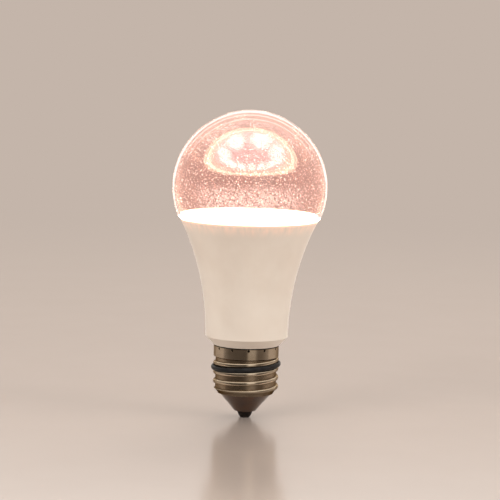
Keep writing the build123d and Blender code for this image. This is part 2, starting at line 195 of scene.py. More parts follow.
# The real skin is finer than 0.1 mm, and is drawn at 0.35 mm so that it shows
skin_grain = 0.35 * mm
black_rubber, tree, shader, place = new_material("black_nitrile_rubber")
bloom = node(tree, "TexNoise", {"Vector": place, "Scale": 1 / bloom_patch, "Detail": 6.0})
patterned(tree, shader, bloom, ("#0d0d0f", "#2b2a2b"), span=(0.4, 0.85), shine=(0.42, 0.75))
rubber_skin = node(tree, "TexNoise", {"Vector": place, "Scale": 1 / skin_grain, "Detail": 2.0})
patterned(tree, shader, rubber_skin, relief=(0.3, 0.06 * mm))
dress(black_rubber, "seal_ring")


# Leads: two stranded wires in soft PVC, from the driver board down to the tip and out to the screw shell.
# The skin is smooth and a little glossy, and shows the strands under it as a faint twist.
strand_twist = 4.0 * mm
for lead_name, wire_name, pale, deep in (
    ("live_lead", "red_pvc_wire", "#c23a2e", "#8f211a"),
    ("neutral_lead", "white_pvc_wire", "#ebe6dd", "#cfc7b9"),
):
    wire_skin, tree, shader, place = new_material(wire_name)
    twist = {"Vector": place, "Scale": 1 / strand_twist, "Distortion": 1.5}
    strands = node(tree, "TexWave", twist, bands_direction="DIAGONAL").node.outputs["Fac"]
    patterned(tree, shader, strands, (pale, deep), shine=(0.3, 0.45), relief=(0.2, 0.1 * mm))
    dress(wire_skin, lead_name)


# Driver board: an upright board of glass cloth and epoxy that slides into ribs in the housing's neck.
# Green lacquer covers its copper tracks, which stand up a little, and the weave shows through it.
track_pitch = 4.0 * mm
weave_width = 0.5 * mm
glass_epoxy, tree, shader, place = new_material("green_glass_epoxy")
track_layout = {
    "Vector": node(tree, "Mapping", {"Vector": place, "Rotation": (math.pi / 2, 0, 0)}),
    "Scale": 1 / track_pitch,
    "Color1": linear("#2f7a48"),
    "Color2": linear("#37854f"),
    "Mortar": linear("#1d5632"),
    "Mortar Size": 0.06,
}
tracks = node(tree, "TexBrick", track_layout).node.outputs
weave = node(tree, "TexNoise", {"Vector": place, "Scale": 1 / weave_width, "Detail": 2.0})
patterned(tree, shader, weave, shine=(0.25, 0.45))
weave_share = {"Factor": 0.18, "A": tracks["Color"], "B": node(tree, "Invert", {"Color": weave})}
board_colour = node(tree, "Mix", weave_share, data_type="RGBA", blend_type="SOFT_LIGHT")
track_edge = {"Height": tracks["Fac"], "Strength": 0.4, "Distance": 0.05 * mm}
fill(shader, {"Base Color": board_colour, "Normal": node(tree, "Bump", track_edge, invert=True)})
dress(glass_epoxy, "driver_board")


# Driver parts: aluminium capacitor cans, a ferrite drum with a coil of enamelled wire, moulded packages and
# a coated fuse resistor, soldered to the driver board. Each has the grain, in mm, of how it is made.
# The grain is even, or drawn out upright or level, by its share along each axis
even = (1, 1, 1)
upright = (1, 1, 0.05)
level = (0.1, 1, 0.1)
capacitors = ("input_capacitor", "output_capacitor")
packages = ("bridge_rectifier", "driver_chip")
for names, part_name, pale, deep, grain, shine, metal, stretch in (
    (capacitors, "drawn_aluminium_can", "#c9ccce", "#a9adb0", 0.3, 0.28, 1.0, upright),
    (("inductor_core",), "sintered_ferrite", "#3b3a3a", "#262525", 0.25, 0.6, 0.0, even),
    (("inductor_winding",), "enamelled_copper_wire", "#b9652f", "#6d3213", 0.35, 0.3, 1.0, level),
    (packages, "moulded_black_epoxy", "#232427", "#151517", 0.2, 0.65, 0.0, even),
    (("fuse_resistor",), "green_resistor_lacquer", "#7ba08c", "#5f8270", 0.6, 0.35, 0.0, even),
):
    part_skin, tree, shader, place = new_material(part_name)
    grain_place = node(tree, "Mapping", {"Vector": place, "Scale": stretch})
    grains = node(tree, "TexNoise", {"Vector": grain_place, "Scale": 1 / (grain * mm), "Detail": 4.0})
    grain_shine = (shine - 0.1, shine + 0.1)
    patterned(tree, shader, grains, (deep, pale), shine=grain_shine, relief=(0.3, 0.05 * mm))
    fill(shader, {"Metallic": metal})
    dress(part_skin, *names)


# Housing: an off-white PBT trumpet, injection moulded with a satin, spark-eroded skin, glued to the screw
# shell and the globe. Under its thin rim a warm, streaky glow is painted, for light that the rim lets
# through.
rim_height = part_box("housing")[1].z
cloud_width = 14.0 * mm
white_pbt, tree, shader, place = new_material("white_pbt")
axes, _, reach = round_place(tree, place)
cloud = node(tree, "TexNoise", {"Vector": place, "Scale": 1 / cloud_width, "Detail": 3.0})
patterned(tree, shader, cloud, ("#d6cabd", "#ddd3c7"), span=(0.3, 0.7), shine=(0.3, 0.46))
# The real grain is about 0.1 mm, which is drawn at 0.35 mm so that it shows
satin_grain = 0.35 * mm
grain = node(tree, "TexNoise", {"Vector": place, "Scale": 1 / satin_grain, "Detail": 2.0})
patterned(tree, shader, grain, relief=(0.18, 0.06 * mm))
leak_depth = 6.5 * mm
edge_depth = 1.1 * mm
streak_height = 9.0 * mm
streaks_to_radian = 9.0
streak_place = wrapped(tree, axes, streaks_to_radian, streak_height)
streaks = node(tree, "TexNoise", {"Vector": streak_place, "Scale": 1.6, "Detail": 4.0})
streak_range = {"From Min": 0.35, "From Max": 0.7, "To Min": 0.25, "To Max": 1.0}
streak_share = node(tree, "MapRange", {"Value": streaks, **streak_range})
leak_range = {"Value": axes["Z"], "From Min": rim_height - leak_depth, "From Max": rim_height}
under_rim = node(tree, "MapRange", leak_range, interpolation_type="SMOOTHERSTEP")
at_rim = node(tree, "MapRange", {**leak_range, "From Min": rim_height - edge_depth})
leak = node(tree, "Math", {0: under_rim, 1: streak_share}, operation="MULTIPLY")
leak_tones = {"A": linear("#000000"), "B": linear("#8f5236")}
leak_warm = node(tree, "Mix", {"Factor": leak, **leak_tones}, data_type="RGBA")
leak_colour = node(tree, "Mix", {"Factor": at_rim, "A": leak_warm, "B": linear("#f09a68")}, data_type="RGBA")
# Above the LED board the wall's inner face has a painted glow, for the LEDs' light that floods it. It leans
# out with the flare, so a line up the middle of the wall parts it from the outer face.
board_low, board_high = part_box("led_board")
wall_lean = 0.446
wall_middle = 23.8 * mm
parting = 0.2 * mm
flood_edge = 0.5 * mm
flood_strength = 5.5
past_lean = node(tree, "Math", {0: axes["Z"], 1: -wall_lean, 2: reach}, operation="MULTIPLY_ADD")
lean_middle = wall_middle - wall_lean * board_low.z
lean_range = {"From Min": lean_middle + parting, "From Max": lean_middle - parting}
inner_face = node(tree, "MapRange", {"Value": past_lean, **lean_range})
over_range = {"From Min": board_low.z - flood_edge, "From Max": board_low.z}
over_board = node(tree, "MapRange", {"Value": axes["Z"], **over_range})
flooded = node(tree, "Math", {0: inner_face, 1: over_board}, operation="MULTIPLY")
flood_tones = {"A": leak_colour, "B": linear("#ffd6c6")}
lit_colour = node(tree, "Mix", {"Factor": flooded, **flood_tones}, data_type="RGBA")
lit_strength = node(tree, "MapRange", {"Value": flooded, "To Min": 1.0, "To Max": flood_strength})
fill(shader, {"Emission Color": lit_colour, "Emission Strength": lit_strength, "IOR": 1.55})
dress(white_pbt, "housing")


# Heatsink cup: aluminium sheet, deep drawn into a cup inside the housing, with a flat top under the board.
# Drawing leaves fine lines up its wall, and the metal is dull, as sheet comes from the mill.
draw_line = 0.4 * mm
drawn_aluminium, tree, shader, place = new_material("drawn_aluminium")
draw_place = node(tree, "Mapping", {"Vector": place, "Scale": (1.0, 1.0, 0.04)})
draw_lines = node(tree, "TexNoise", {"Vector": draw_place, "Scale": 1 / draw_line, "Detail": 4.0})
patterned(tree, shader, draw_lines, ("#9da0a3", "#c6c9cb"), shine=(0.3, 0.5), relief=(0.2, 0.04 * mm))
fill(shader, {"Metallic": 1.0})
dress(drawn_aluminium, "heatsink_cup")


# LED board: a round aluminium-cored board with a white, glossy solder mask, pressed onto the cup's flat
# top. Copper arcs under the mask join one LED to the next. A painted glow over the whole board stands for
# the LEDs' own light, thrown back by the globe.
def on_led_ring(tree, turn, ring, height):
    """The place on the ring of LEDs at a turn."""
    x, y = [
        node(tree, "Math", {0: node(tree, "Math", {0: turn}, operation=wave), 1: ring}, operation="MULTIPLY")
        for wave in ("COSINE", "SINE")
    ]
    return node(tree, "CombineXYZ", {"X": x, "Y": y, "Z": height})


led_count = sum(name.startswith("led_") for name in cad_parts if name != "led_board")
first_low, first_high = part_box("led_01")
first_middle = (first_low + first_high) / 2
led_ring = math.hypot(first_middle.x, first_middle.y)
led_start = math.atan2(first_middle.y, first_middle.x)
led_step = 2 * math.pi / led_count
arc_half = 4.0 * mm
arc_edge = 0.2 * mm
gap_half = 0.35 * mm
gap_edge = 0.15 * mm
mask_flow = 1.2 * mm
white_mask, tree, shader, place = new_material("white_solder_mask")
axes, above, reach = round_place(tree, place)
turn = node(tree, "Math", {0: axes["Y"], 1: axes["X"]}, operation="ARCTAN2")
off_ring = node(tree, "Math", {0: reach, 1: led_ring}, operation="SUBTRACT")
off_size = node(tree, "Math", {0: off_ring}, operation="ABSOLUTE")
in_arc = node(tree, "MapRange", {"Value": off_size, "From Min": arc_half, "From Max": arc_half - arc_edge})
from_first = node(tree, "Math", {0: turn, 1: led_step / 2 - led_start}, operation="ADD")
from_led = node(tree, "Math", {0: from_first, 1: led_step}, operation="FLOORED_MODULO")
past_led = node(tree, "Math", {0: from_led, 1: led_step / 2}, operation="SUBTRACT")
beside_led = node(tree, "Math", {0: past_led, 1: led_ring}, operation="MULTIPLY")
beside_size = node(tree, "Math", {0: beside_led}, operation="ABSOLUTE")
gap_range = {"From Min": gap_half, "From Max": gap_half + gap_edge}
past_gap = node(tree, "MapRange", {"Value": beside_size, **gap_range})
copper = node(tree, "Math", {0: in_arc, 1: past_gap}, operation="MULTIPLY")
patterned(tree, shader, copper, ("#e6dfd5", "#f4efe7"), relief=(0.6, 0.07 * mm))
mask_cloud = node(tree, "TexNoise", {"Vector": place, "Scale": 1 / mask_flow, "Detail": 5.0})
patterned(tree, shader, mask_cloud, shine=(0.22, 0.4))
# Round each LED a brighter halo of light is painted on the mask. The halos are drawn longer from front to
# back, because the globe mirrors the board foreshortened, and there they show as round spots.
halo_reach = 8.0 * mm
halo_narrowing = (1.6, 0.7, 0.0)
halo_fall = 1.7
nearest_turn = node(tree, "Math", {0: turn, 1: past_led}, operation="SUBTRACT")
led_light = 0.0
for neighbour in (-1, 0, 1):
    led_turn = node(tree, "Math", {0: nearest_turn, 1: neighbour * led_step}, operation="ADD")
    led_spot = on_led_ring(tree, led_turn, led_ring, 0.0)
    led_offset = node(tree, "VectorMath", {0: above, 1: led_spot}, operation="SUBTRACT")
    halo_offset = node(tree, "VectorMath", {0: led_offset, 1: halo_narrowing}, operation="MULTIPLY")
    led_distance = node(tree, "VectorMath", {0: halo_offset}, operation="LENGTH")
    led_nearness = node(tree, "MapRange", {"Value": led_distance, "From Min": halo_reach, "From Max": 0.0})
    led_light = node(tree, "Math", {0: led_nearness, 1: led_light}, operation="MAXIMUM")
halo = node(tree, "Math", {0: led_light, 1: halo_fall}, operation="POWER")
glow_tones = {"A": linear("#69575f"), "B": linear("#ffe9e6")}
mask_glow = node(tree, "Mix", {"Factor": halo, **glow_tones}, data_type="RGBA")
fill(shader, {"Emission Color": mask_glow, "Emission Strength": 40.0})
dress(white_mask, "led_board")


# Output pins: tinned copper wires that come up through the board, each held by a cone of solder.
# The cones are drawn in to the wire at the top, as solder flows, and have a grey skin with a painted glow.
scene = bpy.context.scene


def new_geometry(name, **sizes):
    """An empty geometry tree with one named input for each size, and its input sockets."""
    tree = bpy.data.node_groups.new(name, "GeometryNodeTree")
    tree.interface.new_socket("Geometry", in_out="OUTPUT", socket_type="NodeSocketGeometry")
    for label, value in sizes.items():
        kind = "NodeSocketInt" if isinstance(value, int) else "NodeSocketFloat"
        tree.interface.new_socket(label, in_out="INPUT", socket_type=kind)
    return tree, tree.nodes.new("NodeGroupInput").outputs


def made_by(tree, name, body, shape, material, **sizes):
    """Ends a tree with its material, and gives the plain mesh that it makes, riding on a body."""
    realized = node(tree, "GeometryNodeRealizeInstances", {"Geometry": shape})
    coated = node(tree, "GeometryNodeSetMaterial", {"Geometry": realized, "Material": material})
    node(tree, "NodeGroupOutput", {"Geometry": coated})
    piece = bpy.data.objects.new(name, bpy.data.meshes.new(name))
    scene.collection.objects.link(piece)
    modifier = piece.modifiers.new(name, "NODES")
    modifier.node_group = tree
    for socket in tree.interface.items_tree:
        if socket.in_out == "INPUT":
            modifier[socket.identifier] = sizes[socket.name]
    mesh = bpy.data.meshes.new_from_object(piece.evaluated_get(bpy.context.evaluated_depsgraph_get()))
    piece.modifiers.remove(modifier)
    piece.data = mesh
    mesh.name = name
    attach(piece, body)
    return piece


frost_grain = 0.3 * mm
tin_solder, tree, shader, place = new_material("tin_solder")
frost = node(tree, "TexNoise", {"Vector": place, "Scale": 1 / frost_grain, "Detail": 5.0})
frost_and_glow_colour = patterned(tree, shader, frost, ("#a7a8aa", "#d3d4d6"), shine=(0.16, 0.42))
# The frosted colour is also painted on as a glow, for the LEDs' light on the solder.
fill(shader, {"Emission Color": frost_and_glow_colour, "Emission Strength": 20.0, "Metallic": 1.0})
dress(tin_solder, "output_pin_a", "output_pin_b")
pin_low, pin_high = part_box("output_pin_a")
cone_sizes = {
    "Reach": abs(pin_low.x + pin_high.x) / 2,
    "Side": (pin_low.y + pin_high.y) / 2,
    "Foot": 1.1 * mm,
    "Wire": (pin_high.x - pin_low.x) / 2,
    "Height": 0.45 * mm,
}
tree, sizes = new_geometry("solder_cones", **cone_sizes)
cone_ends = {"Radius Top": sizes["Wire"], "Radius Bottom": sizes["Foot"], "Depth": sizes["Height"]}
cone = node(tree, "GeometryNodeMeshCone", {"Vertices": 24, "Side Segments": 5, **cone_ends})
cone_place = node(tree, "GeometryNodeInputPosition")
cone_level = node(tree, "SeparateXYZ", {"Vector": cone_place}).node.outputs["Z"]
climb = node(tree, "Math", {0: cone_level, 1: sizes["Height"]}, operation="DIVIDE")
climb_left = node(tree, "Math", {0: 1.0, 1: climb}, operation="SUBTRACT")
hollow = node(tree, "Math", {0: climb, 1: climb_left}, operation="MULTIPLY")
draw_in = node(tree, "Math", {0: 1.0, 1: hollow}, operation="SUBTRACT")
draw_share = node(tree, "CombineXYZ", {"X": draw_in, "Y": draw_in, "Z": 1.0})
drawn = node(tree, "VectorMath", {0: cone_place, 1: draw_share}, operation="MULTIPLY")
cone_mesh = node(tree, "GeometryNodeSetPosition", {"Geometry": cone, "Position": drawn})
number = node(tree, "GeometryNodeInputIndex")
side_sign = node(tree, "Math", {0: number, 1: 2.0, 2: -1.0}, operation="MULTIPLY_ADD")
pin_x = node(tree, "Math", {0: side_sign, 1: sizes["Reach"]}, operation="MULTIPLY")
pin_place = node(tree, "CombineXYZ", {"X": pin_x, "Y": sizes["Side"], "Z": board_high.z})
pins = node(tree, "GeometryNodePoints", {"Count": 2, "Position": pin_place})
cones = node(tree, "GeometryNodeInstanceOnPoints", {"Points": pins, "Instance": cone_mesh})
solder_cones = made_by(tree, "solder_cones", "root", cones, tin_solder, **cone_sizes)


# LEDs: surface-mount packages of white PPA plastic, reflow soldered in a ring, with a fillet of solder at
# each end. The plastic is smooth and a little glossy, and the ring's first LED faces the front.
led_length = 3.5 * mm
led_width = 2.8 * mm
ppa_grain = 0.5 * mm
white_ppa, tree, shader, place = new_material("white_ppa")
ppa_cloud = node(tree, "TexNoise", {"Vector": place, "Scale": 1 / ppa_grain, "Detail": 3.0})
patterned(tree, shader, ppa_cloud, ("#e9e2d6", "#f7f3ea"), shine=(0.28, 0.44))
# The packages are given a painted glow, for the light of their chips.
fill(shader, {"Emission Color": linear("#ffe3d3"), "Emission Strength": 200.0})
dress(white_ppa, *[f"led_{number:02d}" for number in range(1, led_count + 1)])
fillet_sizes = {
    "Count": led_count,
    "Start": led_start,
    "Ring": led_ring,
    "Half": led_length / 2,
    "Across": 0.75 * led_width,
    "Run": 0.55 * mm,
    "Rise": 0.4 * mm,
}
fillet_curve = 1.7
tree, sizes = new_geometry("led_solder", **fillet_sizes)
wedge_size = node(tree, "CombineXYZ", {"X": sizes["Run"], "Y": sizes["Across"], "Z": sizes["Rise"]})
wedge_grid = {"Vertices X": 4, "Vertices Y": 4, "Vertices Z": 2}
wedge = node(tree, "GeometryNodeMeshCube", {"Size": wedge_size, **wedge_grid})
wedge_place = node(tree, "GeometryNodeInputPosition")
wedge_axes = node(tree, "SeparateXYZ", {"Vector": wedge_place}).node.outputs
slope = node(tree, "Math", {0: wedge_axes["X"], 1: sizes["Run"]}, operation="DIVIDE")
slope_share = node(tree, "Math", {0: 0.5, 1: slope}, operation="SUBTRACT")
slope_curve = node(tree, "Math", {0: slope_share, 1: fillet_curve}, operation="POWER")
lifted = node(tree, "Math", {0: sizes["Rise"], 1: 0.5, 2: wedge_axes["Z"]}, operation="MULTIPLY_ADD")
wedge_height = node(tree, "Math", {0: lifted, 1: slope_curve}, operation="MULTIPLY")
wedge_start = node(tree, "Math", {0: sizes["Run"], 1: 0.5, 2: sizes["Half"]}, operation="MULTIPLY_ADD")
wedge_out = node(tree, "Math", {0: wedge_axes["X"], 1: wedge_start}, operation="ADD")
wedge_shape = node(tree, "CombineXYZ", {"X": wedge_out, "Y": wedge_axes["Y"], "Z": wedge_height})
wedge_mesh = node(tree, "GeometryNodeSetPosition", {"Geometry": wedge, "Position": wedge_shape})
number = node(tree, "GeometryNodeInputIndex")
pair = node(tree, "Math", {0: number, 1: 2.0}, operation="DIVIDE")
led_number = node(tree, "Math", {0: pair}, operation="FLOOR")
end_side = node(tree, "Math", {0: number, 1: 2.0}, operation="MODULO")
led_apart = node(tree, "Math", {0: 2 * math.pi, 1: sizes["Count"]}, operation="DIVIDE")
led_turn = node(tree, "Math", {0: led_number, 1: led_apart, 2: sizes["Start"]}, operation="MULTIPLY_ADD")
led_place = on_led_ring(tree, led_turn, sizes["Ring"], board_high.z)
end_turn = node(tree, "Math", {0: end_side, 1: math.pi, 2: led_turn}, operation="MULTIPLY_ADD")
end_spin = node(tree, "CombineXYZ", {"Z": end_turn})
end_count = node(tree, "Math", {0: sizes["Count"], 1: 2.0}, operation="MULTIPLY")
ends = node(tree, "GeometryNodePoints", {"Count": end_count, "Position": led_place})
wedge_layout = {"Points": ends, "Instance": wedge_mesh, "Rotation": end_spin}
wedges = node(tree, "GeometryNodeInstanceOnPoints", wedge_layout)
led_solder = made_by(tree, "led_solder", "root", wedges, tin_solder, **fillet_sizes)


# Phosphor: a pink-white silicone gel with phosphor powder, dosed into each LED's well, where it sets with a
# crown. Lit by the chip under it, it is by far the brightest thing on the lamp.
powder_grain = 0.4 * mm
pink_phosphor, tree, shader, place = new_material("pink_phosphor_gel")
powder = node(tree, "TexNoise", {"Vector": place, "Scale": 1 / powder_grain, "Detail": 3.0})
powder_colour = patterned(tree, shader, powder, ("#ffd2bd", "#ffe6d8"))
fill(shader, {"Emission Color": powder_colour, "Emission Strength": 900.0, "Roughness": 0.3})
led_frame = 0.35 * mm
well_depth = 0.15 * mm
gel_play = 0.05 * mm
gel_lift = 0.13 * mm
gel_sizes = {
    "Count": led_count,
    "Start": led_start,
    "Ring": led_ring,
    "Along": led_length - 2 * led_frame - gel_play,
    "Across": led_width - 2 * led_frame - gel_play,
    "Depth": 0.25 * mm,
    "Crown": 0.25 * mm,
}
tree, sizes = new_geometry("led_phosphor", **gel_sizes)
gel_size = node(tree, "CombineXYZ", {"X": sizes["Along"], "Y": sizes["Across"], "Z": sizes["Depth"]})
gel_grid = {"Vertices X": 5, "Vertices Y": 5, "Vertices Z": 2}
gel = node(tree, "GeometryNodeMeshCube", {"Size": gel_size, **gel_grid})
gel_spot = node(tree, "GeometryNodeInputPosition")
gel_axes = node(tree, "SeparateXYZ", {"Vector": gel_spot}).node.outputs
bow = sizes["Crown"]
for axis, size in (("X", "Along"), ("Y", "Across")):
    share = node(tree, "Math", {0: gel_axes[axis], 1: sizes[size]}, operation="DIVIDE")
    bow_turn = node(tree, "Math", {0: share, 1: math.pi}, operation="MULTIPLY")
    bow_share = node(tree, "Math", {0: bow_turn}, operation="COSINE")
    bow = node(tree, "Math", {0: bow, 1: bow_share}, operation="MULTIPLY")
is_top = node(tree, "Math", {0: gel_axes["Z"], 1: 0.0}, operation="GREATER_THAN")
crown_top = node(tree, "Math", {0: bow, 1: is_top}, operation="MULTIPLY")
crown = node(tree, "CombineXYZ", {"Z": crown_top})
gel_mesh = node(tree, "GeometryNodeSetPosition", {"Geometry": gel, "Offset": crown})
number = node(tree, "GeometryNodeInputIndex")
led_apart = node(tree, "Math", {0: 2 * math.pi, 1: sizes["Count"]}, operation="DIVIDE")
led_turn = node(tree, "Math", {0: number, 1: led_apart, 2: sizes["Start"]}, operation="MULTIPLY_ADD")
gel_place = on_led_ring(tree, led_turn, sizes["Ring"], first_high.z - well_depth + gel_lift)
gel_spin = node(tree, "CombineXYZ", {"Z": led_turn})
gel_points = node(tree, "GeometryNodePoints", {"Count": sizes["Count"], "Position": gel_place})
gel_layout = {"Points": gel_points, "Instance": gel_mesh, "Rotation": gel_spin}
gels = node(tree, "GeometryNodeInstanceOnPoints", gel_layout)
led_phosphor = made_by(tree, "led_phosphor", "root", gels, pink_phosphor, **gel_sizes)


# Globe: a clear polycarbonate dome, moulded with a flat lip on the housing's rim and a short skirt inside
# it. Some of the LEDs' light runs on inside the wall, and it is painted on as a glow: at the lip, through
# the wall so that the dome's edge is brightest, in a patchy haze, more towards the top, and on a powdery
# smear that handling has left low on its front.
globe_low, globe_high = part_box("globe")
globe_radius = (globe_high.x - globe_low.x) / 2
globe_middle = globe_high.z - globe_radius
globe_wall = 1.2 * mm
lip_thickness = 1.3 * mm
lip_top = rim_height + lip_thickness
lip_radius = 26.0 * mm
haze_patch = 9.0 * mm
smear_grain = 0.7 * mm
clear_pc, tree, shader, place = new_material("clear_polycarbonate")
axes, _, reach = round_place(tree, place)
lip_middle = node(tree, "Math", {0: reach, 1: lip_radius}, operation="SUBTRACT")
lip_offset = node(tree, "Math", {0: lip_middle}, operation="ABSOLUTE")
haze = node(tree, "TexNoise", {"Vector": place, "Scale": 1 / haze_patch, "Detail": 6.0})
smear_powder = node(tree, "TexNoise", {"Vector": place, "Scale": 1 / smear_grain, "Detail": 2.0})
at_lip, corner_line, inside_lip, smear_front, smear_low, smear_grit, to_top, haze_share = [
    node(tree, "MapRange", {"Value": value, "From Min": start, "From Max": end, "To Min": least})
    for value, start, end, least in (
        (axes["Z"], lip_top + 0.6 * mm, lip_top + 0.1 * mm, 0.0),  # down to the lip
        (lip_offset, 0.75 * mm, 0.95 * mm, 0.15),  # out to the lip's two corners
        (reach, lip_radius + 1.6 * mm, lip_radius + 1.2 * mm, 0.0),  # in from the outer face
        (axes["Y"], -20.0 * mm, -27.5 * mm, 0.0),  # forward on the dome
        (axes["Z"], lip_top + 15.0 * mm, lip_top + 10.0 * mm, 0.0),  # down to the smear
        (smear_powder, 0.42, 0.68, 0.0),  # from bare to powdery
        (axes["Z"], globe_high.z - 17.0 * mm, globe_high.z - 6.0 * mm, 0.0),  # up to the top
        (haze, 0.3, 0.75, 0.0),  # from clear to hazy
    )
]
lip_line = node(tree, "Math", {0: at_lip, 1: corner_line}, operation="MULTIPLY")
lip_share = node(tree, "Math", {0: lip_line, 1: inside_lip}, operation="MULTIPLY")
smear_place = node(tree, "Math", {0: smear_front, 1: smear_low}, operation="MULTIPLY")
smear_share = node(tree, "Math", {0: smear_place, 1: smear_grit}, operation="MULTIPLY")
wall_glow = linear("#0b0707")
for glow_share, glow_colour in (
    (haze_share, "#170e0d"),
    (to_top, "#181312"),
    (smear_share, "#4a3c38"),
    (lip_share, "#ffecd0"),
):
    glow_tones = {"A": wall_glow, "B": linear(glow_colour)}
    wall_glow = node(tree, "Mix", {"Factor": glow_share, **glow_tones}, data_type="RGBA")
patterned(tree, shader, haze, shine=(0.0, 0.04))
fill(shader, {"Emission Color": wall_glow, "Emission Strength": 10.0})
fill(shader, {"Base Color": linear("#e0cdc8"), "Transmission Weight": 1.0, "IOR": 1.58})
fill(shader, {"Sheen Weight": 1.0, "Sheen Roughness": 0.25, "Sheen Tint": linear("#ffe9dc")})
through = node(tree, "BsdfTransparent", {"Color": linear("#f2e9e4")})
is_shadow = node(tree, "LightPath").node.outputs["Is Shadow Ray"]
clear_skin = node(tree, "MixShader", {"Fac": is_shadow, 1: shader.outputs["BSDF"], 2: through})
wall_light = node(tree, "Emission", {"Color": linear("#ffcbb2"), "Strength": 40.0})
fill(tree.nodes["Material Output"], {"Surface": clear_skin, "Volume": wall_light})
dress(clear_pc, "globe")


# Dust: dry specks of floor dust and lint on both faces of the globe, thickest low down, where hands hold it.
# Each has a painted glow, for the light of the LEDs on it, so that it shows as a bright point, and some are
# larger flecks.
def globe_points(tree, sizes, segments, rings):
    """Points scattered over the ball that the globe is part of, with their turns, and the ball's middle."""
    ball_grid = {"Segments": segments, "Rings": rings, "Radius": sizes["Radius"]}
    ball = node(tree, "GeometryNodeMeshUVSphere", ball_grid)
    middle = node(tree, "CombineXYZ", {"Z": sizes["Middle"]})
    lifted_ball = node(tree, "GeometryNodeTransform", {"Geometry": ball, "Translation": middle})
    scatter = {"Mesh": lifted_ball, "Density": sizes["Density"], "Seed": sizes["Seed"]}
    return node(tree, "GeometryNodeDistributePointsOnFaces", scatter).node.outputs, middle


def seated(tree, shape, where, middle, radius):
    """A shape with its points moved onto the globe's face."""
    arm = node(tree, "VectorMath", {0: where, 1: middle}, operation="SUBTRACT")
    arm_way = node(tree, "VectorMath", {0: arm}, operation="NORMALIZE")
    on_skin = node(tree, "VectorMath", {0: arm_way, "Scale": radius}, operation="SCALE")
    on_globe = node(tree, "VectorMath", {0: on_skin, 1: middle}, operation="ADD")
    return node(tree, "GeometryNodeSetPosition", {"Geometry": shape, "Position": on_globe})


# Most real specks are finer than 0.05 mm, and are drawn from 0.07 mm up so that they show
finest_speck = 0.07 * mm
coarsest_fleck = 0.25 * mm
grit_patch = 0.8 * mm
dust_patch = 11.0 * mm
thinnest_low = 0.25
thinning_up = 0.45
rarity = 4.0
dust_with_painted_glow, tree, shader, place = new_material("lit_dust")
grit = node(tree, "TexNoise", {"Vector": place, "Scale": 1 / grit_patch, "Detail": 2.0})
grit_and_glow_colour = patterned(tree, shader, grit, ("#6e4a3d", "#ffe0d0"), span=(0.35, 0.7))
fill(shader, {"Emission Color": grit_and_glow_colour, "Emission Strength": 3.8, "Roughness": 0.8})
for skin_name, skin_radius, density, seed in (
    ("dust_outside", globe_radius, 1500000.0, 11),
    ("dust_inside", globe_radius - globe_wall, 1000000.0, 23),
):
    dust_sizes = {
        "Radius": skin_radius,
        "Middle": globe_middle,
        "Foot": lip_top + 0.8 * mm,
        "Density": density,
        "Finest": finest_speck,
        "Coarsest": coarsest_fleck,
        "Seed": seed,
    }
    tree, sizes = new_geometry(skin_name, **dust_sizes)
    points, middle = globe_points(tree, sizes, 64, 48)
    where = node(tree, "GeometryNodeInputPosition")
    height = node(tree, "SeparateXYZ", {"Vector": where}).node.outputs["Z"]
    patch = node(tree, "TexNoise", {"Vector": where, "Scale": 1 / dust_patch, "Detail": 3.0})
    span = node(tree, "Math", {0: sizes["Radius"], 1: 2.0}, operation="MULTIPLY")
    height_up = node(tree, "Math", {0: height, 1: sizes["Foot"]}, operation="SUBTRACT")
    height_share = node(tree, "Math", {0: height_up, 1: span}, operation="DIVIDE")
    thin_out = {0: height_share, 1: thinning_up, 2: thinnest_low}
    thin_limit = node(tree, "Math", thin_out, operation="MULTIPLY_ADD")
    too_thin = node(tree, "Math", {0: patch, 1: thin_limit}, operation="LESS_THAN")
    too_low = node(tree, "Math", {0: height, 1: sizes["Foot"]}, operation="LESS_THAN")
    left_out = node(tree, "Math", {0: too_thin, 1: too_low}, operation="MAXIMUM")
    cleared = {"Geometry": points["Points"], "Selection": left_out}
    kept_points = node(tree, "GeometryNodeDeleteGeometry", cleared, domain="POINT")
    on_face = seated(tree, kept_points, where, middle, sizes["Radius"])
    chance = {"Min": 0.0, "Max": 1.0, "Seed": sizes["Seed"]}
    luck = node(tree, "FunctionNodeRandomValue", chance, data_type="FLOAT")
    rare = node(tree, "Math", {0: luck, 1: rarity}, operation="POWER")
    size_range = node(tree, "Math", {0: sizes["Coarsest"], 1: sizes["Finest"]}, operation="SUBTRACT")
    speck_size = node(tree, "Math", {0: rare, 1: size_range, 2: sizes["Finest"]}, operation="MULTIPLY_ADD")
    speck_form = {"Vertices": 3, "Radius Top": 0.0, "Radius Bottom": 1.0, "Depth": 0.5}
    speck = node(tree, "GeometryNodeMeshCone", speck_form)
    speck_seat = {"Points": on_face, "Rotation": points["Rotation"], "Scale": speck_size}
    specks = node(tree, "GeometryNodeInstanceOnPoints", {"Instance": speck, **speck_seat})
    dust = made_by(tree, skin_name, "root", specks, dust_with_painted_glow, **dust_sizes)


# Scratches: hairlines that wiping and packing have left on the outside of the globe.
# Each follows the dome for a few millimetres and has the dust's painted glow along its length.
scratch_sizes = {
    "Radius": globe_radius,
    "Middle": globe_middle,
    "Foot": lip_top + 1.5 * mm,
    "Density": 3500.0,
    "Length": 5.0 * mm,
    "Width": 0.03 * mm,
    "Seed": 5,
}
tree, sizes = new_geometry("scratches", **scratch_sizes)
points, middle = globe_points(tree, sizes, 48, 32)
where = node(tree, "GeometryNodeInputPosition")
height = node(tree, "SeparateXYZ", {"Vector": where}).node.outputs["Z"]
too_low = node(tree, "Math", {0: height, 1: sizes["Foot"]}, operation="LESS_THAN")
cleared = {"Geometry": points["Points"], "Selection": too_low}
kept_points = node(tree, "GeometryNodeDeleteGeometry", cleared, domain="POINT")
line_start, line_end = [
    node(tree, "CombineXYZ", {"X": node(tree, "Math", {0: sizes["Length"], 1: half}, operation="MULTIPLY")})
    for half in (-0.5, 0.5)
]
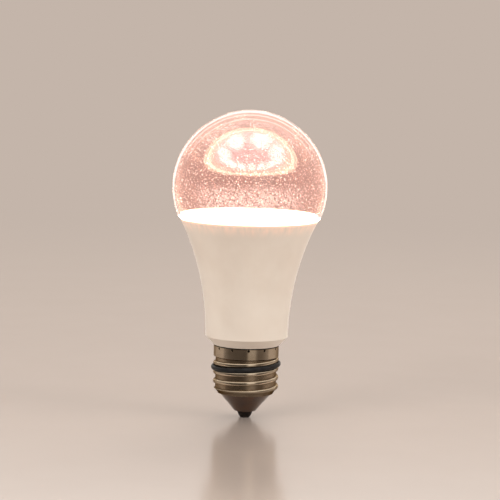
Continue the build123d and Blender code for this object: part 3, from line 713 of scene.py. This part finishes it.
hairline = node(tree, "GeometryNodeCurvePrimitiveLine", {"Start": line_start, "End": line_end})
hair_points = node(tree, "GeometryNodeResampleCurve", {"Curve": hairline, "Count": 9})
luck, spin = [
    node(tree, "FunctionNodeRandomValue", {"Min": least, "Max": most, "Seed": seed}, data_type="FLOAT")
    for least, most, seed in ((0.15, 1.0, 8), (0.0, 3.14, 9))
]
spin_turn = node(tree, "CombineXYZ", {"Z": spin})
lay = {"Rotation": points["Rotation"], "Rotate By": spin_turn}
laid = node(tree, "FunctionNodeRotateRotation", lay, rotation_space="LOCAL")
hair_layout = {"Points": kept_points, "Instance": hair_points, "Rotation": laid, "Scale": luck}
hairs = node(tree, "GeometryNodeInstanceOnPoints", hair_layout)
loose_hairs = node(tree, "GeometryNodeRealizeInstances", {"Geometry": hairs})
on_face = seated(tree, loose_hairs, where, middle, sizes["Radius"])
section = node(tree, "GeometryNodeCurvePrimitiveCircle", {"Resolution": 3, "Radius": sizes["Width"]})
scratch_mesh = node(tree, "GeometryNodeCurveToMesh", {"Curve": on_face, "Profile Curve": section})
scratches = made_by(tree, "scratches", "root", scratch_mesh, dust_with_painted_glow, **scratch_sizes)


# Dried drop: a drop of water that has dried on the left of the globe and left a low, pale ring of lime.
# It is a few hundredths of a millimetre high and follows the dome.
drop_ring = 0.8 * mm
drop_edge = 0.16 * mm
drop_flatness = 0.3
drop_steps, edge_steps = 28, 6
ball_middle = Vector((0, 0, globe_middle))
drop_spot = Vector((-26.7, -14.0, 87.6)) * mm
drop_way = (drop_spot - ball_middle).normalized()
drop_side = drop_way.cross(Vector((0, 0, 1))).normalized()
drop_up = drop_side.cross(drop_way)
drop_points = []
drop_faces = []
for step in range(drop_steps):
    turn = 2 * math.pi * step / drop_steps
    outward = drop_side * math.cos(turn) + drop_up * math.sin(turn)
    here, there = step * edge_steps, (step + 1) % drop_steps * edge_steps
    for edge in range(edge_steps):
        roll = 2 * math.pi * edge / edge_steps
        spot = drop_way * globe_radius + outward * (drop_ring + drop_edge * math.cos(roll))
        height = drop_flatness * drop_edge * math.sin(roll)
        drop_points.append(ball_middle + spot.normalized() * (globe_radius + height))
        beyond = (edge + 1) % edge_steps
        drop_faces.append((here + edge, there + edge, there + beyond, here + beyond))
drop_mesh = bpy.data.meshes.new("dried_drop")
drop_mesh.from_pydata(drop_points, [], drop_faces)
# The lime ring has the dust's material, with its painted glow.
drop_mesh.materials.append(dust_with_painted_glow)
dried_drop = bpy.data.objects.new("dried_drop", drop_mesh)
scene.collection.objects.link(dried_drop)
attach(dried_drop, "root")


# Stage: a pale, glossy sheet that the lamp stands on, which fades into the background far behind the lamp,
# so that no horizon shows. It isn't part of the lamp.
scene.view_settings.view_transform = "Standard"
backdrop = "#c4b5aa"


def room_walls(tree, across, ahead, strip):
    """The colour that gloss sees in a direction: a dark front with one paler strip, the backdrop behind."""
    to_front = node(tree, "Math", {0: ahead, 1: -1.0}, operation="MULTIPLY")
    side_turn = node(tree, "Math", {0: across, 1: to_front}, operation="ARCTAN2")
    side_share = node(tree, "MapRange", {"Value": side_turn, "From Min": -math.pi, "From Max": math.pi})
    walls = node(tree, "ValToRGB", {"Fac": side_share})
    stops = walls.node.color_ramp.elements
    wall_stops = (
        (-130, backdrop),
        (-60, "#3a3029"),
        (2, "#2a221d"),
        (9, strip),
        (30, strip),
        (40, "#4a3f37"),
        (60, "#5a4e45"),
        (130, backdrop),
    )
    while len(stops) < len(wall_stops):
        stops.new(0.5)
    for stop, (degrees_right, wall_colour) in zip(stops, wall_stops):
        stop.position = (degrees_right + 180) / 360
        stop.color = linear(wall_colour)
    return walls


sheet_radius = 4.0
sheet_steps = 160
sheet_patch = 40.0 * mm
fade_start, fade_end = 0.15, 0.9
gloss_sheet, tree, shader, place = new_material("pale_glossy_sheet")
sheet_cloud = node(tree, "TexNoise", {"Vector": place, "Scale": 1 / sheet_patch, "Detail": 3.0})
patterned(tree, shader, sheet_cloud, ("#b4a69c", "#baaca2"))
fill(shader, {"Roughness": 0.16})
sheet_reach = node(tree, "VectorMath", {0: place}, operation="LENGTH")
fade = {"Value": sheet_reach, "From Min": fade_start, "From Max": fade_end}
faded = node(tree, "MapRange", fade, interpolation_type="SMOOTHSTEP")
# Gloss sees the sheet five times as bright far behind the lamp, between two lines from the lamp's foot,
# and in front of the lamp mostly as dark as the room's front wall
lit_from = 0.2
dark_from = -0.02
dark_share = 0.8
sheet_axes = node(tree, "SeparateXYZ", {"Vector": place}).node.outputs
sheet_side = node(tree, "Math", {0: sheet_axes["X"], 1: sheet_axes["Y"]}, operation="DIVIDE")
sheet_aside = node(tree, "Math", {0: sheet_side}, operation="ABSOLUTE")
light_range = {"From Min": 0.52, "From Max": 0.46, "To Min": 1.0, "To Max": 5.0}
in_light = node(tree, "MapRange", {"Value": sheet_aside, **light_range})
sheet_behind = node(tree, "Math", {0: sheet_axes["Y"], 1: lit_from}, operation="GREATER_THAN")
path = node(tree, "LightPath").node.outputs
mirrored = {0: path["Is Glossy Ray"], 1: path["Is Transmission Ray"]}
by_gloss = node(tree, "Math", mirrored, operation="GREATER_THAN")
lit_sheet = node(tree, "Math", {0: by_gloss, 1: sheet_behind}, operation="MULTIPLY")
sheet_strength = node(tree, "Mix", {"Factor": lit_sheet, "A": 1.0, "B": in_light}, data_type="FLOAT")
far_sheet = node(tree, "Emission", {"Color": linear(backdrop), "Strength": sheet_strength})
sheet_skin = node(tree, "MixShader", {"Fac": faded, 1: shader.outputs["BSDF"], 2: far_sheet})
sheet_ahead = node(tree, "Math", {0: sheet_axes["Y"], 1: dark_from}, operation="LESS_THAN")
gloss_there = node(tree, "Math", {0: by_gloss, 1: sheet_ahead}, operation="MULTIPLY")
gloss_ahead = node(tree, "Math", {0: gloss_there, 1: dark_share}, operation="MULTIPLY")
front_walls = room_walls(tree, sheet_axes["X"], sheet_axes["Y"], "#9a8c80")
sheet_walls = node(tree, "Emission", {"Color": front_walls})
shown_sheet = node(tree, "MixShader", {"Fac": gloss_ahead, 1: sheet_skin, 2: sheet_walls})
fill(tree.nodes["Material Output"], {"Surface": shown_sheet})
sheet_turns = [2 * math.pi * step / sheet_steps for step in range(sheet_steps)]
sheet_edge = [(sheet_radius * math.cos(turn), sheet_radius * math.sin(turn), 0) for turn in sheet_turns]
sheet_mesh = bpy.data.meshes.new("glossy_sheet")
sheet_mesh.from_pydata(sheet_edge, [], [range(sheet_steps)])
sheet_mesh.materials.append(gloss_sheet)
glossy_sheet = bpy.data.objects.new("glossy_sheet", sheet_mesh)
scene.collection.objects.link(glossy_sheet)


# Light: an even, pale room with three large soft boxes, which light a matt surface at about its own colour.
# Gloss sees the same room as a studio for metal: a dark front with one tall bright strip, a ring light
# behind, open at its middle and foot, two strips above it, and a pale ceiling.
room_strength = 0.6
room = bpy.data.worlds.new("pale_room")
room.use_nodes = True
tree = room.node_tree
path = node(tree, "LightPath").node.outputs
seen = node(tree, "Math", {0: path["Is Camera Ray"], 1: path["Is Transmission Ray"]}, operation="MAXIMUM")
way = node(tree, "SeparateXYZ", {"Vector": node(tree, "TexCoord")}).node.outputs
way_aside = node(tree, "Math", {0: way["X"]}, operation="ABSOLUTE")
ring_sides, ring_above, ring_in, overhead, ceiling = [
    node(tree, "MapRange", {"Value": value, "From Min": start, "From Max": end})
    for value, start, end in (
        (way_aside, 0.22, 0.28),  # out past the ring's opening
        (way["Z"], 0.22, 0.28),  # up past the opening
        (way["Y"], 0.86, 0.9),  # back, within the ring's outer edge
        (way["Z"], 0.2, 0.35),  # up to the strips
        (way["Z"], 0.4, 0.6),  # up to the ceiling
    )
]
ring_open = node(tree, "Math", {0: ring_sides, 1: ring_above}, operation="MAXIMUM")
lamp_share = node(tree, "Math", {0: ring_open, 1: ring_in}, operation="MULTIPLY")
for strip_way, strip_half in ((0.77, 0.025), (0.59, 0.03)):
    off_strip = node(tree, "Math", {0: way["Y"], 1: strip_way}, operation="SUBTRACT")
    off_size = node(tree, "Math", {0: off_strip}, operation="ABSOLUTE")
    strip_range = {"From Min": strip_half, "From Max": 0.6 * strip_half}
    in_strip = node(tree, "MapRange", {"Value": off_size, **strip_range})
    strip_share = node(tree, "Math", {0: in_strip, 1: overhead}, operation="MULTIPLY")
    lamp_share = node(tree, "Math", {0: lamp_share, 1: strip_share}, operation="MAXIMUM")
lamp_strength = 2.4
lamp_light = [lamp_strength * part for part in linear("#fffaf5")]
walls = room_walls(tree, way["X"], way["Y"], "#fff4ea")
roofed_walls = node(tree, "Mix", {"Factor": ceiling, "A": walls, "B": linear("#f0e4d8")}, data_type="RGBA")
lamp_walls = node(tree, "Mix", {"Factor": lamp_share, "A": roofed_walls, "B": lamp_light}, data_type="RGBA")
lit_room = node(tree, "Background", {"Color": linear("#fffcf9"), "Strength": room_strength})
gloss_room = node(tree, "Background", {"Color": lamp_walls, "Strength": 1.0})
shown_room = node(tree, "Background", {"Color": linear(backdrop), "Strength": 1.0})
gloss_mix = node(tree, "MixShader", {"Fac": path["Is Glossy Ray"], 1: lit_room, 2: gloss_room})
room_mix = node(tree, "MixShader", {"Fac": seen, 1: gloss_mix, 2: shown_room})
fill(tree.nodes["World Output"], {"Surface": room_mix})
scene.world = room
aim = Vector((0.0, 0.0, 65.0 * mm))
for box_name, box_place, box_size, box_power in (
    ("left_box", (-0.9, -0.9, 0.5), 0.8, 12.0),
    ("right_box", (1.1, -0.4, 0.35), 0.7, 9.5),
    ("back_box", (0.2, 1.0, 1.1), 0.8, 9.0),
):
    box_lamp = bpy.data.lights.new(box_name, "AREA")
    box_lamp.energy = box_power
    box_lamp.size = box_size
    box_lamp.color = linear("#fffaf5")[:3]
    soft_box = bpy.data.objects.new(box_name, box_lamp)
    soft_box.location = box_place
    soft_box.rotation_euler = (aim - Vector(box_place)).to_track_quat("-Z", "Y").to_euler()
    soft_box.visible_glossy = False
    soft_box.visible_transmission = False
    scene.collection.objects.link(soft_box)


# Camera: a long lens, a little above the lamp and almost level with it, with the small tilt of a hand-set
# stand. The picture is 500 pixels square, and the lens is given in those pixels.
picture_half = 250
lens_pixels = 2030.28
camera_distance = 800.0 * mm
camera_height = 153.73 * mm
camera_pitch = 0.10783
camera_pan = -0.00072
camera_roll = 0.02344
lens = bpy.data.cameras.new("camera")
lens.angle = 2 * math.atan(picture_half / lens_pixels)
camera = bpy.data.objects.new("camera", lens)
look = Euler((math.pi / 2 - camera_pitch, 0, camera_pan)).to_matrix() @ Matrix.Rotation(camera_roll, 3, "Z")
camera.matrix_world = Matrix.Translation((0, -camera_distance, camera_height)) @ look.to_4x4()
scene.collection.objects.link(camera)
scene.camera = camera
